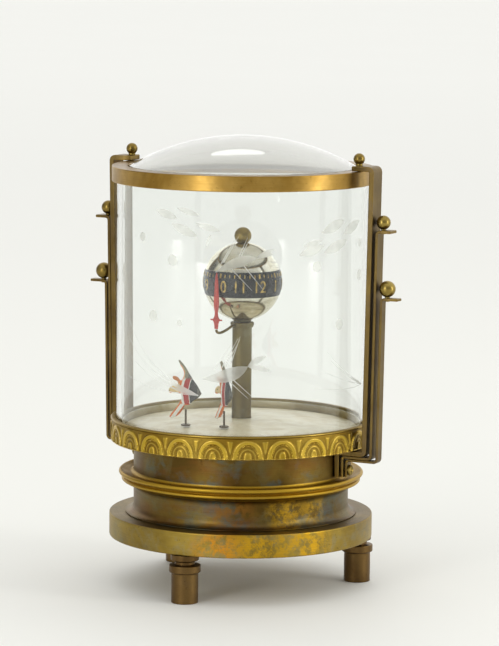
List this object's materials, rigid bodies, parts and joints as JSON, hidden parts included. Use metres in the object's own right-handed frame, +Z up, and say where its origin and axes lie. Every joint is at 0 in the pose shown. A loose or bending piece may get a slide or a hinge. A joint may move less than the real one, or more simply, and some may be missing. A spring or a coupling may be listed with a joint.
{
  "type": "fish-tank mantel clock",
  "caption": "Mantel clock shaped as a glass fish tank: a globe with an hour band turns past a fixed pointer on a column, and painted fish circle the floor.",
  "frame": {"origin": "on the ground under the centre of the case", "axes": "+Z up along the column, X through the two straps, -Y over the front foot"},
  "size_m": [0.1692, 0.1309, 0.2216],
  "materials": {
    "aged_brass": "aged olive brass with brown and blue-green tarnish and worn bright spots",
    "band_brass": "stamped golden brass, darker in the recesses",
    "brushed_brass": "golden brown brass, brushed along the ring",
    "bronze": "dark brown tarnished bronze",
    "silvered": "silvered brass, yellowed and dull",
    "cream": "cream pearly enamel with fine mottling",
    "glass": "clear polished glass with wheel-cut frosted decoration",
    "chrome": "polished chrome with light wear",
    "hour_band": "glossy black enamel with gold numerals",
    "red_paint": "red paint, slightly worn",
    "fish_paint": "hand painted black, red, white and orange",
    "steel": "dull dark steel",
    "movement_brass": "machined movement brass",
    "movement_steel": "ground steel arbors"
  },
  "bodies": {
    "case": {"base_disc": "aged_brass", "bottom_cover": "aged_brass", "foot_front": "bronze", "foot_right": "bronze", "foot_left": "bronze", "neck_housing": "aged_brass", "gallery_band": "band_brass", "floor_pan": "silvered", "floor_disc": "cream", "glass_cylinder": "glass", "top_ring": "brushed_brass", "glass_lid": "glass", "strap_right_inner": "aged_brass", "strap_right_middle": "aged_brass", "strap_right_outer": "aged_brass", "strap_left_inner": "aged_brass", "strap_left_middle": "aged_brass", "strap_left_outer": "aged_brass", "strap_ball_right_upper": "aged_brass", "strap_ball_right_lower": "aged_brass", "strap_ball_left_upper": "aged_brass", "strap_ball_left_lower": "aged_brass", "strap_screw_right": "aged_brass", "strap_screw_left": "aged_brass", "column_tube": "aged_brass", "column_collar": "aged_brass", "pointer_arm": "aged_brass", "pointer": "red_paint", "movement_plate_upper": "movement_brass", "movement_plate_lower": "movement_brass", "balance_cock": "movement_brass"},
    "center": {"center_arbor": "movement_steel", "center_wheel": "movement_brass", "transfer_gear": "movement_brass", "set_knob": "aged_brass"},
    "globe": {"globe_shaft": "movement_steel", "hour_wheel": "movement_brass", "globe_upper": "chrome", "numeral_band": "hour_band", "globe_lower": "chrome", "finial_ball": "aged_brass"},
    "carrier": {"magnet_carrier": "movement_brass", "carrier_magnet_1": "steel", "carrier_magnet_2": "steel"},
    "outer_fish": {"fish_outer": "fish_paint", "fish_outer_pin": "steel"},
    "inner_fish": {"fish_inner": "fish_paint", "fish_inner_pin": "steel"},
    "motion": {"motion_arbor": "movement_steel", "motion_wheel": "movement_brass"},
    "third": {"third_arbor": "movement_steel", "third_wheel": "movement_brass"},
    "barrel": {"mainspring_barrel": "movement_brass"},
    "winder": {"winding_arbor": "movement_steel", "winding_key": "aged_brass"},
    "balance": {"balance_wheel": "movement_brass"},
    "screw_right": {"lid_screw_right": "aged_brass"},
    "screw_left": {"lid_screw_left": "aged_brass"}
  },
  "joints": [
    {"name": "center_turn", "type": "hinge", "parent": "case", "child": "center", "pos_m": [0, 0.018, 0.045], "axis": [0, 0, 1], "continuous": true},
    {"name": "globe_turn", "type": "hinge", "parent": "case", "child": "globe", "pos_m": [0, 0, 0.14], "axis": [0, 0, 1], "continuous": true},
    {"name": "carrier_turn", "type": "hinge", "parent": "case", "child": "carrier", "pos_m": [0, 0, 0.07], "axis": [0, 0, 1], "continuous": true},
    {"name": "outer_fish_swim", "type": "hinge", "parent": "case", "child": "outer_fish", "pos_m": [0, 0, 0.09], "axis": [0, 0, 1], "continuous": true},
    {"name": "inner_fish_swim", "type": "hinge", "parent": "case", "child": "inner_fish", "pos_m": [0, 0, 0.09], "axis": [0, 0, 1], "continuous": true},
    {"name": "motion_turn", "type": "hinge", "parent": "case", "child": "motion", "pos_m": [0.00992, 0.00675, 0.055], "axis": [0, 0, 1], "continuous": true},
    {"name": "third_turn", "type": "hinge", "parent": "case", "child": "third", "pos_m": [0.0141, 0.02313, 0.045], "axis": [0, 0, 1], "continuous": true},
    {"name": "barrel_turn", "type": "hinge", "parent": "case", "child": "barrel", "pos_m": [-0.01691, 0.01184, 0.042], "axis": [0, 0, 1], "continuous": true},
    {"name": "winder_turn", "type": "hinge", "parent": "case", "child": "winder", "pos_m": [-0.01691, 0.01184, 0.03], "axis": [0, 0, 1], "continuous": true},
    {"name": "balance_swing", "type": "hinge", "parent": "case", "child": "balance", "pos_m": [0.024, -0.014, 0.038], "axis": [0, 0, 1], "range_deg": [-135, 135]},
    {"name": "screw_right_turn", "type": "hinge", "parent": "case", "child": "screw_right", "pos_m": [0.0624, 0, 0.21], "axis": [0, 0, 1], "continuous": true},
    {"name": "screw_left_turn", "type": "hinge", "parent": "case", "child": "screw_left", "pos_m": [-0.0624, 0, 0.21], "axis": [0, 0, 1], "continuous": true}
  ],
  "couplings": [
    {"joint": "globe_turn", "follows": "center_turn", "ratio": 0.083333},
    {"joint": "carrier_turn", "follows": "center_turn", "ratio": -1},
    {"joint": "outer_fish_swim", "follows": "center_turn", "ratio": -1},
    {"joint": "inner_fish_swim", "follows": "center_turn", "ratio": -1},
    {"joint": "motion_turn", "follows": "center_turn", "ratio": -0.25},
    {"joint": "third_turn", "follows": "center_turn", "ratio": -4},
    {"joint": "barrel_turn", "follows": "center_turn", "ratio": -0.2}
  ]
}
